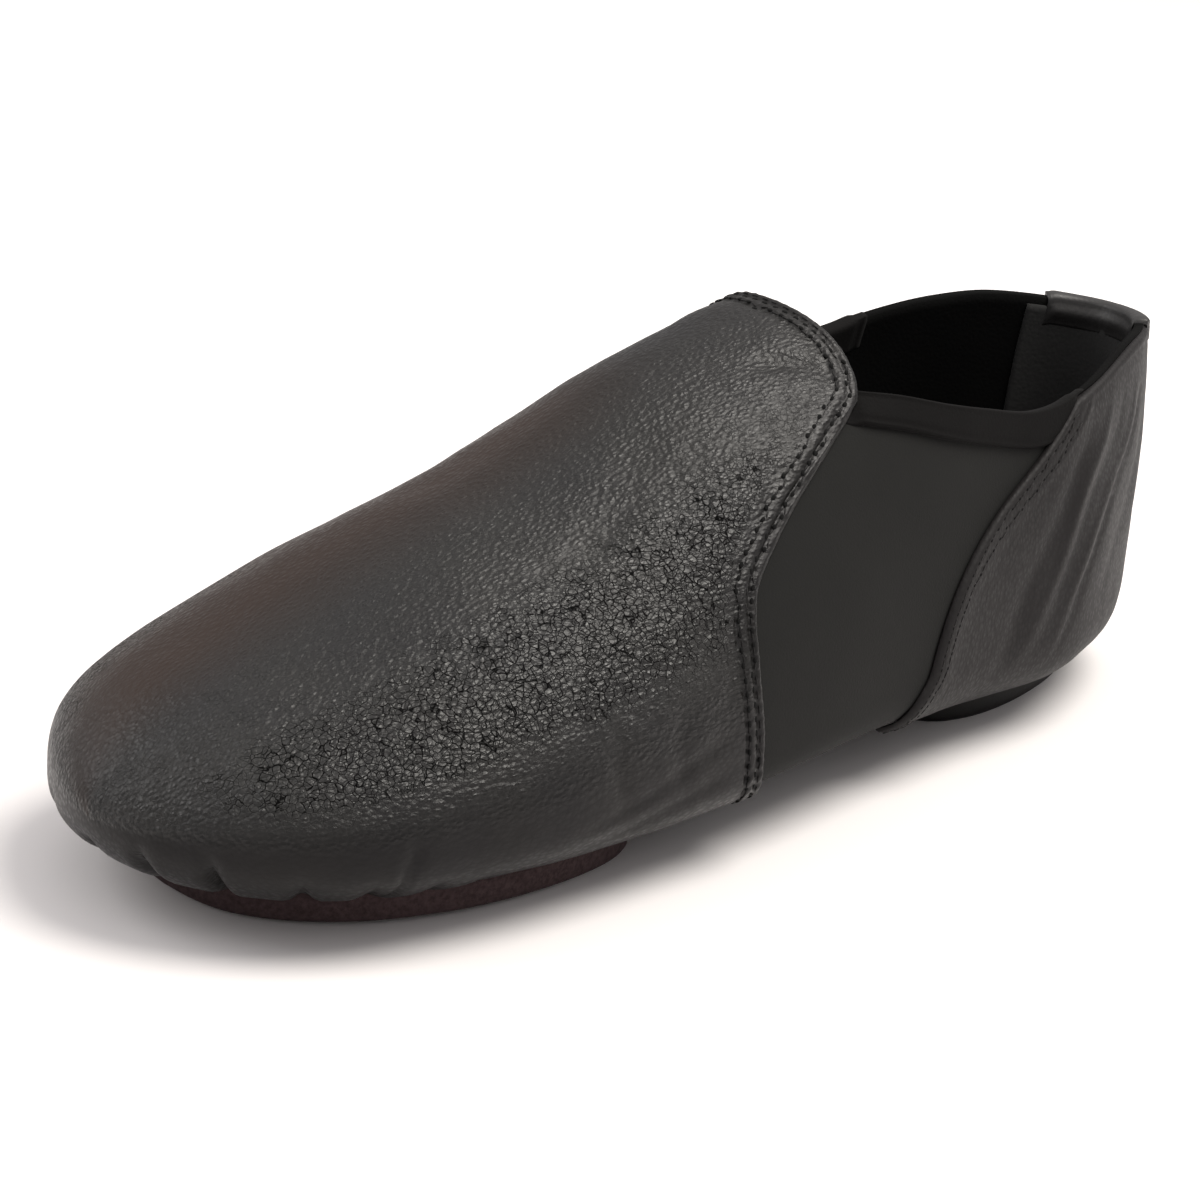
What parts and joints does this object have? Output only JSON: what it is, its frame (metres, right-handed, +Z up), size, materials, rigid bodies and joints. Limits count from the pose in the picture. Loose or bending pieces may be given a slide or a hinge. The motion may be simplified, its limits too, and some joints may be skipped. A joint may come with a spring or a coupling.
{
  "type": "jazz shoe",
  "caption": "Left black leather slip-on jazz shoe with elastic side panels, a plain vamp, a folded heel tab and a split sole.",
  "frame": {"origin": "On the floor under the middle of the whole shoe's box.", "axes": "The toe points to -Y, the heel to +Y, the outer (lateral) side of this left shoe faces +X, and +Z is up."},
  "size_m": [0.0858, 0.2514, 0.0839],
  "materials": {
    "leather": "black full-grain leather, pebbled, semi-gloss, finely creased",
    "elastic": "matte charcoal stretch fabric, smooth and dense",
    "tape": "matte black folded tape",
    "lining": "matte black lining cloth",
    "sole_patch": "very dark reddish brown suede, matte",
    "rubber": "black rubber, matte"
  },
  "bodies": {
    "root": {"upper": "elastic", "vamp": "leather", "quarter": "leather", "gore_binding_lateral": "tape", "gore_binding_medial": "tape", "heel_tab": "leather", "insole": "lining", "forefoot_sole": "sole_patch", "heel": "rubber"}
  },
  "joints": []
}
